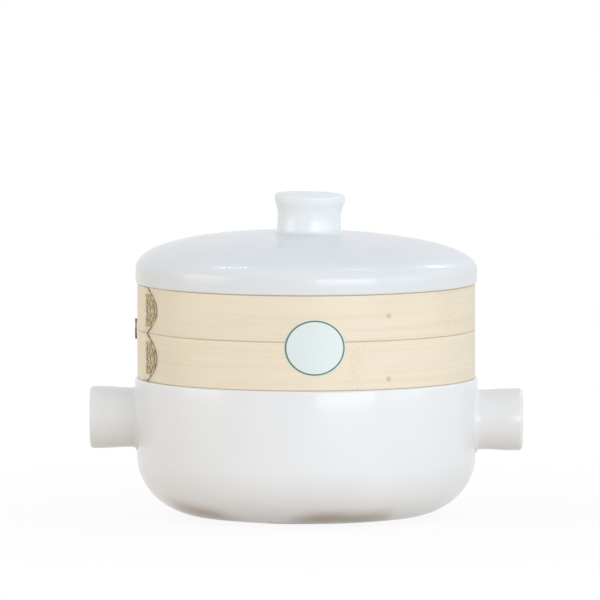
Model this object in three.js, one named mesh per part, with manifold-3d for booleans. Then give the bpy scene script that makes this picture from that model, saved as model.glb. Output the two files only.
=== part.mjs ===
// Donabe with a bamboo steamer tier: a glazed pot, a laced bamboo basket and a domed lid, stacked.
// Millimetres, +Z up. The origin is the middle of the pot's foot, the handles lie along X, the front is -Y.
// Azimuths are in degrees, measured from the front towards +X.
import * as THREE from 'three';
import { mergeVertices } from 'three/addons/utils/BufferGeometryUtils.js';
import Module from 'manifold-3d';

const wasm = await Module();
wasm.setup();

// Pot
const POT_RIM_RADIUS = 120;
const BELLY_TAPER = 1.5;
const POT_HEIGHT = 97;
const POT_WALL = 8;
const POT_FLOOR = 5.5;
const BELLY_CURVE_WIDTH = 46;
const BELLY_CURVE_HEIGHT = 42;
const RIM_ROUND = 1.6;
const FOOT_INSET = 48.5;
const FOOT_WIDTH = 8;
const FOOT_HOLLOW = 2.5;
const FOOT_RISE = 0.6;
const FOOT_TAPER = 1.5;
const GALLERY_DEPTH = 6;
const LEDGE_WIDTH = 7.6;
const LEDGE_UNDERSIDE = 7;

// Pot handles, two short flared tubes closed at the wall
const HANDLE_LENGTH = 33;
const HANDLE_AXIS_HEIGHT = 68;
const HANDLE_ROOT_RADIUS = 21.2;
const HANDLE_WAIST_RADIUS = 20.9;
const HANDLE_WAIST_OUT = 12;
const HANDLE_END_RADIUS = 21.7;
const HANDLE_END_ROUND = 3;
const HANDLE_BORE_RADIUS = 14;
const HANDLE_BORE_DEPTH = 22;

// Steamer
const HOOP_INSET = 1.75;
const HOOP_THICKNESS = 3;
const LOWER_HOOP_HEIGHT = 34;
const UPPER_HOOP_HEIGHT = 32.5;
const LINER_THICKNESS = 2.5;
const LID_REBATE = 6;
const SLAT_RING_THICKNESS = 6;
const SLAT_RING_HEIGHT = 9.4;
const SLAT_RING_RISE = 1;
const KEEPER_THICKNESS = 3;
const KEEPER_HEIGHT = 8;
const SHORTEST_SLAT = 60;
const SLAT_WIDTH = 12.5;
const SLAT_PITCH = 16.5;
const SLAT_THICKNESS = 2.6;
const BATTEN_WIDTH = 10;
const BATTEN_HEIGHT = 6;
const BATTEN_OFFSET = 57.7;
const BATTEN_AZIMUTH = 155;

// Lap of each outer hoop, with its tongue, lacing, pins and tie
const LAP_BACK_AZIMUTH = -125;
const LAP_FRONT_AZIMUTH = -60;
const LAP_SKIVE = 10;
const LAP_INNER_PLY = 1.35;
const TONGUE_TIP_AZIMUTH = -63;
const TONGUE_BULGE = 18;
const LACING_AZIMUTH = -71.5;
const LACING_LENGTH = 17;
const LACING_HEIGHT = 22;
const LACING_STRIP = 2;
const LACING_THICKNESS = 0.7;
const LACING_TURNS = 4;
const PIN_RADIUS = 2;
const PIN_AZIMUTHS = [29, 112, 202, 262];
const PIN_PROUD = 0.4;
const UPPER_PIN_RISE = 17.5;
const TIE_AZIMUTH = -90;
const TIE_WIDTH = 5;
const TIE_LENGTH = 14;
const TIE_THICKNESS = 1.5;

// Blank paper label on the front
const LABEL_AZIMUTH = 2.85;
const LABEL_WIDTH = 42.2;
const LABEL_HEIGHT = 39;
const LABEL_BELOW_SEAM = 4;
const LABEL_THICKNESS = 0.4;

// Lid
const LID_OVERHANG = 1.25;
const LID_SIDE_HEIGHT = 9.5;
const LID_DOME_RISE = 25.5;
const LID_WALL = 7;
const LID_FLANGE_DEPTH = 5;
const LID_FLANGE_WIDTH = 5.6;
const DOME_SIDE_POWER = 2.8;
const DOME_TOP_POWER = 2.2;
const KNOB_HEIGHT = 28;
const KNOB_TOP_RADIUS = 24.6;
const KNOB_WAIST_RADIUS = 22;
const KNOB_WAIST_RISE = 11;
const KNOB_BASE_RADIUS = 22.5;
const KNOB_EDGE_ROUND = 3;
const KNOB_DISH = 1;
const KNOB_CAVITY_RADIUS = 13;
const KNOB_CAP = 8;

// Fits
const FIT_GAP = 0.3;
const SPIGOT_GAP = 0.65;
const PIN_GAP = 0.2;
const SLAT_END_GAP = 0.5;

// Fineness of round shapes
const ROUND_STEPS = 60;
const HANDLE_STEPS = 24;
const CURVE_STEPS = 6;
const PIN_STEPS = 5;
const CUT_MARGIN = 6;
const WELD = 1e-4;

// Levels and radii worked out from the sizes above
const bellyRadius = POT_RIM_RADIUS - BELLY_TAPER;
const footRadius = bellyRadius - FOOT_INSET;
const ledgeZ = POT_HEIGHT - GALLERY_DEPTH;
const seamZ = POT_HEIGHT + LOWER_HOOP_HEIGHT;
const hoopTopZ = seamZ + UPPER_HOOP_HEIGHT;
const hoopOuterRadius = POT_RIM_RADIUS - HOOP_INSET;
const hoopInnerRadius = hoopOuterRadius - HOOP_THICKNESS;
const linerOuterRadius = hoopInnerRadius - FIT_GAP;
const galleryRadius = linerOuterRadius + SPIGOT_GAP;
const linerInnerRadius = linerOuterRadius - LINER_THICKNESS;
const linerLowZ = ledgeZ + FIT_GAP;
const linerTopZ = hoopTopZ - LID_REBATE;
const ringOuterRadius = linerInnerRadius - FIT_GAP;
const ringInnerRadius = ringOuterRadius - SLAT_RING_THICKNESS;
const ringLowZ = POT_HEIGHT + SLAT_RING_RISE;
const slatLowZ = ringLowZ + SLAT_RING_HEIGHT;
const slatTopZ = slatLowZ + SLAT_THICKNESS;
const slatReach = linerInnerRadius - SLAT_END_GAP;
const slatSpread = Math.sqrt(slatReach ** 2 - (SHORTEST_SLAT / 2) ** 2) - SLAT_WIDTH / 2;
const slatsPerSide = Math.floor(slatSpread / SLAT_PITCH);
const lowerPinZ = ringLowZ + SLAT_RING_HEIGHT - BATTEN_HEIGHT / 2;
const upperPinZ = seamZ + UPPER_PIN_RISE;
const surfaceRadius = hoopOuterRadius + FIT_GAP;
const outerPlyInnerRadius = hoopInnerRadius + LAP_INNER_PLY + FIT_GAP;
const lidRadius = hoopOuterRadius + LID_OVERHANG;
const domeZ = hoopTopZ + LID_SIDE_HEIGHT;
const flangeOuterRadius = hoopInnerRadius - SPIGOT_GAP;
const flangeInnerRadius = flangeOuterRadius - LID_FLANGE_WIDTH;

const glaze = new THREE.MeshStandardMaterial({ color: 0xe6e9ec, roughness: 0.25, metalness: 0 });
const bamboo = new THREE.MeshStandardMaterial({ color: 0xe6dac3, roughness: 0.6, metalness: 0 });
const innerBamboo = new THREE.MeshStandardMaterial({ color: 0xdccba6, roughness: 0.65, metalness: 0 });
const lacing = new THREE.MeshStandardMaterial({ color: 0xb59b68, roughness: 0.6, metalness: 0 });
const rattan = new THREE.MeshStandardMaterial({ color: 0x6a5632, roughness: 0.6, metalness: 0 });
const paper = new THREE.MeshStandardMaterial({ color: 0xd8e6e3, roughness: 0.5, metalness: 0 });

const model = new THREE.Group();

// Solids

function toSolid(geometry) {
  geometry.deleteAttribute('normal');
  geometry.deleteAttribute('uv');
  const welded = mergeVertices(geometry, WELD);
  const corners = welded.index.array;
  const kept = [];
  for (let i = 0; i < corners.length; i += 3) {
    const [a, b, c] = [corners[i], corners[i + 1], corners[i + 2]];
    if (a !== b && b !== c && c !== a) kept.push(a, b, c);
  }
  const mesh = new wasm.Mesh({
    numProp: 3,
    vertProperties: new Float32Array(welded.attributes.position.array),
    triVerts: new Uint32Array(kept),
  });
  return new wasm.Manifold(mesh);
}

function toGeometry(solid) {
  const mesh = solid.getMesh();
  const geometry = new THREE.BufferGeometry();
  geometry.setAttribute('position', new THREE.BufferAttribute(mesh.vertProperties, mesh.numProp));
  geometry.setIndex(new THREE.BufferAttribute(mesh.triVerts, 1));
  geometry.computeVertexNormals();
  return geometry;
}

function addPiece(name, solid, material) {
  const mesh = new THREE.Mesh(toGeometry(solid), material);
  mesh.name = name;
  model.add(mesh);
}

// A round body about Z from its profile of (radius, height) points, walked with the solid on the left
function turned(profile, steps = ROUND_STEPS) {
  return toSolid(new THREE.LatheGeometry(profile, steps).rotateX(Math.PI / 2));
}

function ring(inner, outer, low, high) {
  const corners = [[inner, low], [outer, low], [outer, high], [inner, high], [inner, low]];
  return turned(corners.map(([radius, z]) => new THREE.Vector2(radius, z)));
}

function radians(degrees) {
  return THREE.MathUtils.degToRad(degrees);
}

function outward(azimuth) {
  return new THREE.Vector3(Math.sin(radians(azimuth)), -Math.cos(radians(azimuth)), 0);
}

function arc(centreX, centreY, radius, from, to, steps = CURVE_STEPS) {
  const points = [];
  for (let i = 0; i <= steps; i++) {
    const angle = radians(THREE.MathUtils.lerp(from, to, i / steps));
    points.push(new THREE.Vector2(centreX + radius * Math.cos(angle), centreY + radius * Math.sin(angle)));
  }
  return points;
}

// A flat outline stood upright at an azimuth, x along the hoop and y up, pushed out between two radii
function pushedOut(shape, azimuth, from, to) {
  const depth = to - from;
  const geometry = new THREE.ExtrudeGeometry(shape, { depth, bevelEnabled: false, curveSegments: PIN_STEPS });
  const out = outward(azimuth);
  const up = new THREE.Vector3(0, 0, 1);
  const along = new THREE.Vector3().crossVectors(up, out);
  const place = new THREE.Matrix4().makeBasis(along, up, out);
  place.setPosition(out.multiplyScalar(from));
  return toSolid(geometry.applyMatrix4(place));
}

// The part of a thin round shell that lies under a flat outline
function shellPatch(shape, azimuth, inner, outer) {
  const block = pushedOut(shape, azimuth, inner - CUT_MARGIN, outer + CUT_MARGIN);
  return block.intersect(ring(inner, outer, 0, hoopTopZ + CUT_MARGIN));
}

// Half a rounded dome profile as a superellipse, from its side up to a given radius
function dome(radius, low, rise, endRadius) {
  const end = Math.acos((endRadius / radius) ** (DOME_SIDE_POWER / 2));
  const points = [];
  for (let i = 0; i <= CURVE_STEPS; i++) {
    const angle = end * i / CURVE_STEPS;
    const r = radius * Math.cos(angle) ** (2 / DOME_SIDE_POWER);
    points.push(new THREE.Vector2(r, low + rise * Math.sin(angle) ** (2 / DOME_TOP_POWER)));
  }
  return points;
}

// Pot

// A quarter of an ellipse from the pot's base out to its wall
function lowerCurve(radius, width, low, high, steps) {
  const quarter = arc(0, 0, 1, -90, 0, steps);
  return quarter.map((point) => new THREE.Vector2(radius - width + width * point.x, high + (high - low) * point.y));
}

function potBody() {
  const footInner = footRadius - FOOT_WIDTH;
  const curveTopZ = FOOT_RISE + BELLY_CURVE_HEIGHT;
  const innerRadius = bellyRadius - POT_WALL;
  const floorZ = FOOT_HOLLOW + POT_FLOOR;
  const belly = lowerCurve(bellyRadius, BELLY_CURVE_WIDTH, FOOT_RISE, curveTopZ, CURVE_STEPS);
  const inside = lowerCurve(innerRadius, BELLY_CURVE_WIDTH - POT_WALL, floorZ, curveTopZ, CURVE_STEPS / 2);
  return turned([
    new THREE.Vector2(0, FOOT_HOLLOW),
    new THREE.Vector2(footInner - FOOT_TAPER, FOOT_HOLLOW),
    new THREE.Vector2(footInner, 0),
    new THREE.Vector2(footRadius, 0),
    new THREE.Vector2(footRadius + FOOT_TAPER, FOOT_RISE),
    ...belly,
    ...arc(POT_RIM_RADIUS - RIM_ROUND, POT_HEIGHT - RIM_ROUND, RIM_ROUND, 0, 90, 2),
    new THREE.Vector2(galleryRadius, POT_HEIGHT),
    new THREE.Vector2(galleryRadius, ledgeZ),
    new THREE.Vector2(galleryRadius - LEDGE_WIDTH, ledgeZ),
    new THREE.Vector2(innerRadius, ledgeZ - LEDGE_UNDERSIDE),
    ...inside.reverse(),
    new THREE.Vector2(0, floorZ),
  ]);
}

// A handle lies along +X or -X and starts inside the pot wall
function potHandle(side) {
  const root = bellyRadius - POT_WALL / 2;
  const end = bellyRadius + HANDLE_LENGTH;
  const profile = [
    new THREE.Vector2(0, root),
    new THREE.Vector2(HANDLE_ROOT_RADIUS, root),
    new THREE.Vector2(HANDLE_WAIST_RADIUS, bellyRadius + HANDLE_WAIST_OUT),
    ...arc(HANDLE_END_RADIUS - HANDLE_END_ROUND, end - HANDLE_END_ROUND, HANDLE_END_ROUND, 0, 90, 4),
    new THREE.Vector2(HANDLE_BORE_RADIUS, end),
    new THREE.Vector2(HANDLE_BORE_RADIUS, end - HANDLE_BORE_DEPTH),
    new THREE.Vector2(0, end - HANDLE_BORE_DEPTH),
  ];
  const geometry = new THREE.LatheGeometry(profile, HANDLE_STEPS).rotateZ(-side * Math.PI / 2);
  return toSolid(geometry.translate(0, 0, HANDLE_AXIS_HEIGHT));
}

function addPot() {
  addPiece('pot', potBody().add(potHandle(1)).add(potHandle(-1)), glaze);
}

// Steamer

// Pins go in square to the hoop, the lower ones right through the slat ring
function pinRows() {
  return [
    { row: 'upper', z: upperPinZ, from: linerInnerRadius },
    { row: 'lower', z: lowerPinZ, from: ringInnerRadius },
  ];
}

function pinSolid(z, azimuth, from, radius, to) {
  const section = new THREE.Shape().absarc(0, z, radius, 0, 2 * Math.PI);
  return pushedOut(section, azimuth, from, to);
}

function drillPins(solid) {
  let drilled = solid;
  for (const { z, from } of pinRows()) {
    for (const azimuth of PIN_AZIMUTHS) {
      const hole = pinSolid(z, azimuth, from - CUT_MARGIN, PIN_RADIUS + PIN_GAP, surfaceRadius + CUT_MARGIN);
      drilled = drilled.subtract(hole);
    }
  }
  return drilled;
}

// One strip wound a little over one turn: thinned under the lap, and lifted over it
function stripOuterRadius(azimuth) {
  const thick = THREE.MathUtils.clamp((azimuth - LAP_FRONT_AZIMUTH) / LAP_SKIVE, 0, 1);
  return THREE.MathUtils.lerp(hoopInnerRadius + LAP_INNER_PLY, hoopOuterRadius, thick);
}

function stripInnerRadius(azimuth) {
  const lifted = THREE.MathUtils.clamp((azimuth - LAP_BACK_AZIMUTH - 360 + LAP_SKIVE) / LAP_SKIVE, 0, 1);
  return THREE.MathUtils.lerp(hoopInnerRadius, outerPlyInnerRadius, lifted);
}

function woundStrip(low, height) {
  const outside = [];
  const inside = [];
  const step = 360 / ROUND_STEPS;
  for (let azimuth = LAP_BACK_AZIMUTH; azimuth <= LAP_FRONT_AZIMUTH + 360; azimuth += step) {
    const out = outward(azimuth);
    outside.push(new THREE.Vector2(out.x, out.y).multiplyScalar(stripOuterRadius(azimuth)));
    inside.unshift(new THREE.Vector2(out.x, out.y).multiplyScalar(stripInnerRadius(azimuth)));
  }
  const outline = new THREE.Shape([...outside, ...inside]);
  const geometry = new THREE.ExtrudeGeometry(outline, { depth: height, bevelEnabled: false });
  return toSolid(geometry.translate(0, 0, low));
}

// What is cut away past the rounded tongue of the outer ply
function tongueWaste(low, height) {
  const reach = radians(LAP_FRONT_AZIMUTH - TONGUE_TIP_AZIMUTH) * hoopOuterRadius + CUT_MARGIN;
  const points = [];
  for (const z of [low - CUT_MARGIN, low + height + CUT_MARGIN]) points.push(new THREE.Vector2(reach, z));
  for (let i = 0; i <= 2 * CURVE_STEPS; i++) {
    const across = 1 - i / CURVE_STEPS;
    const over = across * (height / 2 + FIT_GAP);
    points.push(new THREE.Vector2(-TONGUE_BULGE * across * across, low + height / 2 + over));
  }
  const betweenPlies = outerPlyInnerRadius - FIT_GAP / 2;
  const outline = new THREE.Shape(points);
  return shellPatch(outline, TONGUE_TIP_AZIMUTH, betweenPlies, hoopOuterRadius + CUT_MARGIN);
}

function outerHoop(low, height) {
  return drillPins(woundStrip(low, height).subtract(tongueWaste(low, height)));
}

// Slanting strips run to and fro across the tongue, and others cross them the opposite way
function lacingStrip(from, to) {
  const half = LACING_STRIP / 2;
  const corners = [[from, -half], [from, half], [to, half], [to, -half]];
  return new THREE.Shape(corners.map(([end, aside]) => new THREE.Vector2(end.x + aside, end.y)));
}

function lacingNet(middle) {
  const outer = surfaceRadius + LACING_THICKNESS;
  const strips = [];
  for (const side of [1, -1]) {
    const turns = [];
    for (let i = 0; i <= LACING_TURNS; i++) {
      const x = (i / LACING_TURNS - 0.5) * LACING_LENGTH;
      turns.push(new THREE.Vector2(x, middle + side * (i % 2 - 0.5) * LACING_HEIGHT));
    }
    for (let i = 0; i < LACING_TURNS; i++) strips.push(lacingStrip(turns[i], turns[i + 1]));
  }
  const patches = strips.map((strip) => shellPatch(strip, LACING_AZIMUTH, surfaceRadius, outer));
  return patches.reduce((net, patch) => net.add(patch));
}

function seamTie() {
  const end = TIE_WIDTH / 2;
  const straight = TIE_LENGTH / 2 - end;
  const outline = new THREE.Shape();
  outline.absarc(0, seamZ + straight, end, 0, Math.PI);
  outline.absarc(0, seamZ - straight, end, Math.PI, 2 * Math.PI);
  return shellPatch(outline, TIE_AZIMUTH, surfaceRadius, surfaceRadius + TIE_THICKNESS);
}

function blankLabel() {
  const outline = new THREE.Shape();
  outline.absellipse(0, seamZ - LABEL_BELOW_SEAM, LABEL_WIDTH / 2, LABEL_HEIGHT / 2, 0, 2 * Math.PI);
  const smooth = new THREE.Shape(outline.getPoints(4 * CURVE_STEPS));
  return shellPatch(smooth, LABEL_AZIMUTH, surfaceRadius, surfaceRadius + LABEL_THICKNESS);
}

// A bar along the battens' direction or across it, between two levels
function bar(length, width, offset, low, height, azimuth) {
  const geometry = new THREE.BoxGeometry(length, width, height);
  geometry.translate(0, offset, low + height / 2);
  return toSolid(geometry.rotateZ(radians(azimuth - 90)));
}

function battenLength() {
  const reach = ringOuterRadius - SLAT_END_GAP;
  return 2 * Math.sqrt(reach ** 2 - (BATTEN_OFFSET + BATTEN_WIDTH / 2) ** 2);
}

function slatRing() {
  let body = drillPins(ring(ringInnerRadius, ringOuterRadius, ringLowZ, slatLowZ));
  const notchLow = slatLowZ - BATTEN_HEIGHT - FIT_GAP;
  for (const side of [1, -1]) {
    const width = BATTEN_WIDTH + 2 * FIT_GAP;
    const length = 2 * (ringOuterRadius + CUT_MARGIN);
    const height = BATTEN_HEIGHT + CUT_MARGIN;
    body = body.subtract(bar(length, width, side * BATTEN_OFFSET, notchLow, height, BATTEN_AZIMUTH));
  }
  return body;
}

function addSlats() {
  for (let i = -slatsPerSide; i <= slatsPerSide; i++) {
    const offset = i * SLAT_PITCH;
    const length = 2 * Math.sqrt(slatReach ** 2 - (Math.abs(offset) + SLAT_WIDTH / 2) ** 2);
    const slat = bar(length, SLAT_WIDTH, offset, slatLowZ, SLAT_THICKNESS, BATTEN_AZIMUTH + 90);
    const number = String(i + slatsPerSide + 1).padStart(2, '0');
    addPiece(`slat_${number}`, slat, innerBamboo);
  }
}

function addBattens() {
  [-1, 1].forEach((side, i) => {
    const low = slatLowZ - BATTEN_HEIGHT;
    const offset = side * BATTEN_OFFSET;
    const batten = bar(battenLength(), BATTEN_WIDTH, offset, low, BATTEN_HEIGHT, BATTEN_AZIMUTH);
    addPiece(`batten_${i + 1}`, batten, innerBamboo);
  });
}

function addPins() {
  for (const { row, z, from } of pinRows()) {
    PIN_AZIMUTHS.forEach((azimuth, i) => {
      const pin = pinSolid(z, azimuth, from, PIN_RADIUS, hoopOuterRadius + PIN_PROUD);
      addPiece(`${row}_pin_${i + 1}`, pin, lacing);
    });
  }
}

function addSteamer() {
  addPiece('lower_hoop', outerHoop(POT_HEIGHT, LOWER_HOOP_HEIGHT), bamboo);
  addPiece('upper_hoop', outerHoop(seamZ, UPPER_HOOP_HEIGHT), bamboo);
  const liner = ring(linerInnerRadius, linerOuterRadius, linerLowZ, linerTopZ);
  addPiece('liner_hoop', drillPins(liner), innerBamboo);
  addPiece('slat_ring', slatRing(), innerBamboo);
  const keeperInnerRadius = ringOuterRadius - KEEPER_THICKNESS;
  const keeper = ring(keeperInnerRadius, ringOuterRadius, slatTopZ, slatTopZ + KEEPER_HEIGHT);
  addPiece('keeper_hoop', keeper, innerBamboo);
  addSlats();
  addBattens();
  addPins();
  addPiece('lower_lacing', lacingNet(POT_HEIGHT + LOWER_HOOP_HEIGHT / 2), lacing);
  addPiece('upper_lacing', lacingNet(seamZ + UPPER_HOOP_HEIGHT / 2), lacing);
  addPiece('seam_tie', seamTie(), rattan);
  addPiece('label', blankLabel(), paper);
}

// Lid

function lidBody() {
  const apexZ = domeZ + LID_DOME_RISE;
  const knobTopZ = apexZ + KNOB_HEIGHT;
  const outside = dome(lidRadius, domeZ, LID_DOME_RISE, KNOB_BASE_RADIUS);
  const inside = dome(flangeInnerRadius, domeZ, LID_DOME_RISE - LID_WALL, KNOB_CAVITY_RADIUS).reverse();
  return turned([
    new THREE.Vector2(0, knobTopZ - KNOB_CAP),
    new THREE.Vector2(KNOB_CAVITY_RADIUS, knobTopZ - KNOB_CAP),
    ...inside,
    new THREE.Vector2(flangeInnerRadius, hoopTopZ - LID_FLANGE_DEPTH),
    new THREE.Vector2(flangeOuterRadius, hoopTopZ - LID_FLANGE_DEPTH),
    new THREE.Vector2(flangeOuterRadius, hoopTopZ),
    new THREE.Vector2(lidRadius, hoopTopZ),
    ...outside,
    new THREE.Vector2(KNOB_WAIST_RADIUS, apexZ + KNOB_WAIST_RISE),
    ...arc(KNOB_TOP_RADIUS - KNOB_EDGE_ROUND, knobTopZ - KNOB_EDGE_ROUND, KNOB_EDGE_ROUND, 0, 90, 4),
    new THREE.Vector2(0, knobTopZ - KNOB_DISH),
  ]);
}

addPot();
addSteamer();
addPiece('lid', lidBody(), glaze);

export default model;
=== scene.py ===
"""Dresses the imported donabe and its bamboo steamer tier: glazed pot and lid, laced hoops, slats and label."""
import math
from typing import NamedTuple

import bmesh
import bpy
from bpy.props import FloatProperty, FloatVectorProperty, IntProperty, PointerProperty
from mathutils import Matrix, Vector


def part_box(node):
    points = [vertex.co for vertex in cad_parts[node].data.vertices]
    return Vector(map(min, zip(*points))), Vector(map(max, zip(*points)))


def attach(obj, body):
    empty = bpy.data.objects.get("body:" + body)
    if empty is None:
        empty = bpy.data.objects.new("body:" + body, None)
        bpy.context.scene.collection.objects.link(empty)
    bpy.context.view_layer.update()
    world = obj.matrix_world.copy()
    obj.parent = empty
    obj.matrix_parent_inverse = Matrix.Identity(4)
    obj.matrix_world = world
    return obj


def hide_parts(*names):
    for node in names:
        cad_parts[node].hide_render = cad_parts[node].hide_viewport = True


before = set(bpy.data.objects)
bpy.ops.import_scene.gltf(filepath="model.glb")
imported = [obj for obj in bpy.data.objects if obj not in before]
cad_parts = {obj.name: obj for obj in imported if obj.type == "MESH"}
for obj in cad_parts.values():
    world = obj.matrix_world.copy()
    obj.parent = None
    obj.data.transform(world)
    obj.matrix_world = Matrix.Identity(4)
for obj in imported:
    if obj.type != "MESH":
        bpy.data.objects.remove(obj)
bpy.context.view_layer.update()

bl_info = {
    "name": "Donabe with steamer",
    "version": (1, 0, 0),
    "blender": (4, 5, 0),
    "location": "View3D > Sidebar > Donabe",
    "description": "Glazed clay pot with a laced bamboo steamer tier and a domed lid",
    "category": "Mesh",
}

MM = 0.001
TURN = 360.0

# Vertices nearer than this are joined, in metres
WELD = 1e-6

# Edges sharper than this stay sharp under smooth shading, in degrees
SHARP_ANGLE = 50.0

# Steps round the pot and the lid, and round a corner of an outline or of a bamboo ring's section
TURN_STEPS = 160
CORNER_STEPS = 6
SECTION_STEPS = 3

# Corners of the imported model's boxes, in metres
POT_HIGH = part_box("pot")[1]
LID_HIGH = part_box("lid")[1]
LOWER_LOW, LOWER_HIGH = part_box("lower_hoop")
UPPER_LOW, UPPER_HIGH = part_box("upper_hoop")
LINER_LOW, LINER_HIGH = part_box("liner_hoop")
KEEPER_LOW, KEEPER_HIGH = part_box("keeper_hoop")
RING_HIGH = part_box("slat_ring")[1]

# Levels and radii that several pieces share
RIM_RADIUS = POT_HIGH[1]
RIM_Z = POT_HIGH[2]
HANDLE_END = POT_HIGH[0]
HOOP_RADIUS = UPPER_HIGH[1]
HOOP_TOP_Z = UPPER_HIGH[2]
LID_RADIUS = LID_HIGH[1]
LID_TOP_Z = LID_HIGH[2]

# The strip of each outer hoop starts under its lap and ends in a tongue, in degrees from the front
LAP_BACK = -125.0
LAP_FRONT = -60.0
TONGUE_TIP = -63.0


class Hoop(NamedTuple):
    """An outer hoop: its row, its levels, the joint in its bamboo and how dark its edges are"""
    row: str
    low: float
    high: float
    joint_azimuth: float
    joint_width: float
    low_stain_and_shade: float
    high_stain_and_shade: float


# A hoop's edge darkness is partly darker cut bamboo and partly painted shade where it meets the lid, the pot's
# rim and the other hoop
LOWER_HOOP = Hoop("lower", LOWER_LOW[2], LOWER_HIGH[2], joint_azimuth=17.0, joint_width=10 * MM,
                  low_stain_and_shade=0.5, high_stain_and_shade=0.25)
UPPER_HOOP = Hoop("upper", UPPER_LOW[2], UPPER_HIGH[2], joint_azimuth=57.0, joint_width=22 * MM,
                  low_stain_and_shade=0.25, high_stain_and_shade=0.75)


# Properties

def srgb(red, green, blue):
    """A screen colour of 0 to 255 as the linear colour that shaders take, by the sRGB curve."""
    def linear(value):
        value /= 255.0
        return value / 12.92 if value <= 0.04045 else ((value + 0.055) / 1.055) ** 2.4
    return (linear(red), linear(green), linear(blue))


def length(label, millimetres, words):
    """A property for a length that is given in millimetres."""
    return FloatProperty(name=label, description=words, default=millimetres * MM, unit="LENGTH", precision=5)


def colour(label, screen, words):
    """A property for a colour that is given as a screen colour."""
    return FloatVectorProperty(name=label, description=words, default=srgb(*screen),
                               subtype="COLOR", min=0, max=1)


def power(label, watts, words):
    """A property for a lamp's power."""
    return FloatProperty(name=label, description=words, default=watts, unit="POWER")


class DonabeSizes(bpy.types.PropertyGroup):
    """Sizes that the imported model's boxes don't give"""
    belly_radius: length("Belly radius", 118.5, "Outer radius where the wall leaves the lower curve")
    belly_width: length("Belly curve width", 46, "How far out the curve from foot to wall goes")
    belly_height: length("Belly curve height", 42, "How far up the curve from foot to wall goes")
    pot_wall: length("Pot wall", 8, "Thickness of the pot's wall")
    pot_floor: length("Pot floor", 5.5, "Thickness of the pot's floor")
    foot_radius: length("Foot radius", 70, "Outer radius of the foot ring")
    foot_width: length("Foot width", 8, "Width of the foot ring")
    foot_rise: length("Foot rise", 0.6, "Height of the belly over the foot's underside")
    foot_hollow: length("Foot hollow", 2.5, "Depth of the hollow inside the foot ring")
    rim_land: length("Rim land", 4.4, "Width of the rim that carries the steamer")
    gallery_depth: length("Gallery depth", 6, "Depth of the step inside the rim")
    ledge_width: length("Ledge width", 7.6, "Width of the step inside the rim")
    handle_axis: length("Handle height", 68, "Height of the handles' axis")
    handle_skew: length("Handle skew", 0.8, "How much lower the right one sits, and higher the left")
    handle_end: length("Handle end radius", 21.7, "Radius at the handle's outer end")
    handle_waist: length("Handle waist radius", 20.9, "Radius where the handle is narrowest")
    handle_bore: length("Handle bore radius", 14, "Radius of the hollow in the handle's end")
    handle_bore_depth: length("Handle bore depth", 22, "Depth of the hollow in the handle's end")
    lid_side: length("Lid side", 9.5, "Height of the lid's upright side")
    lid_wall: length("Lid wall", 7, "Thickness of the lid")
    lid_flange: length("Lid flange depth", 5, "How far the flange drops into the steamer")
    flange_width: length("Lid flange width", 5.6, "Width of the lid's flange")
    dome_sag: length("Dome sag", 3.7, "How steeply the right half of the dome sinks")
    sag_blend: length("Sag blend", 24, "How softly the sag starts at the middle")
    knob_height: length("Knob height", 28, "Height of the knob over the dome")
    knob_top: length("Knob top radius", 24.6, "Radius of the knob's lip")
    knob_waist: length("Knob waist radius", 22.0, "Radius where the knob is narrowest")
    knob_base: length("Knob base radius", 22.5, "Radius where the knob meets the dome")
    knob_cavity: length("Knob hollow radius", 13, "Radius of the hollow under the knob")
    knob_shift: length("Knob shift", 1.6, "How far the knob's base sits off the axis")
    knob_lean: length("Knob lean", 1.1, "How far the knob's top leans past its base")
    knob_dip: length("Knob dip", 1.5, "How much lower the right of the knob's top is")
    hoop_thickness: length("Hoop thickness", 3, "Thickness of the outer bamboo strips")
    lap_ply: length("Lap ply", 1.35, "Thickness of the strip under the lap")
    fit_gap: length("Fit gap", 0.3, "Gap between pieces that lie on each other")
    tongue_bulge: length("Tongue bulge", 18, "How far the tongue's tip passes its edges")
    liner_thickness: length("Liner thickness", 2.5, "Thickness of the inner bamboo strip")
    keeper_thickness: length("Keeper thickness", 3, "Thickness of the ring over the slats")


class DonabeFinish(bpy.types.PropertyGroup):
    """Colours of the finishes"""
    glaze: colour("Glaze", (233, 236, 240), "White glaze of the pot")
    # The handles' glaze is painted darker and warmer than the pot's, for the shade the pot casts on them and
    # the warm light from the left
    handle_glaze: colour("Handle glaze", (229, 230, 231), "White glaze of the handles, a little warmer")
    lid_glaze: colour("Lid glaze", (223, 228, 233), "White glaze of the lid, a little greyer")
    # The knob's glaze is painted lighter than the lid's, for the stronger light on the knob's upright side
    lit_knob_glaze: colour("Knob glaze", (232, 236, 239), "White glaze of the knob")
    clay: colour("Clay", (196, 178, 150), "Bare clay of foot and flange")
    # Colour of the painted shade and painted warm reflection on the pot's lower belly over its foot
    painted_shade: colour("Shade", (146, 126, 82), "Shaded glaze over the foot ring")
    bamboo: colour("Bamboo", (231, 221, 200), "Shaved bamboo of the outer hoops")
    bamboo_light: colour("Light bamboo", (238, 228, 208), "Pale fibres of the outer hoops")
    bamboo_dark: colour("Dark bamboo", (212, 195, 160), "Dark flecks and joints of the bamboo")
    inner: colour("Inner bamboo", (221, 204, 169), "Split bamboo inside the steamer")
    cane: colour("Cane", (224, 208, 172), "Cane lacing")
    # Cane shade also paints the shade at the hoops' edges and the shadow along the tongue's edge
    cane_shade: colour("Cane shade", (148, 124, 82), "Streaks of the lacing, and stained edges")
    cane_dark: colour("Dark cane", (84, 70, 50), "Dark cane of the tie")
    label_paper: colour("Label paper", (223, 235, 236), "Blank label")
    label_ring: colour("Label ring", (72, 112, 106), "Printed ring of the label")


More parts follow.
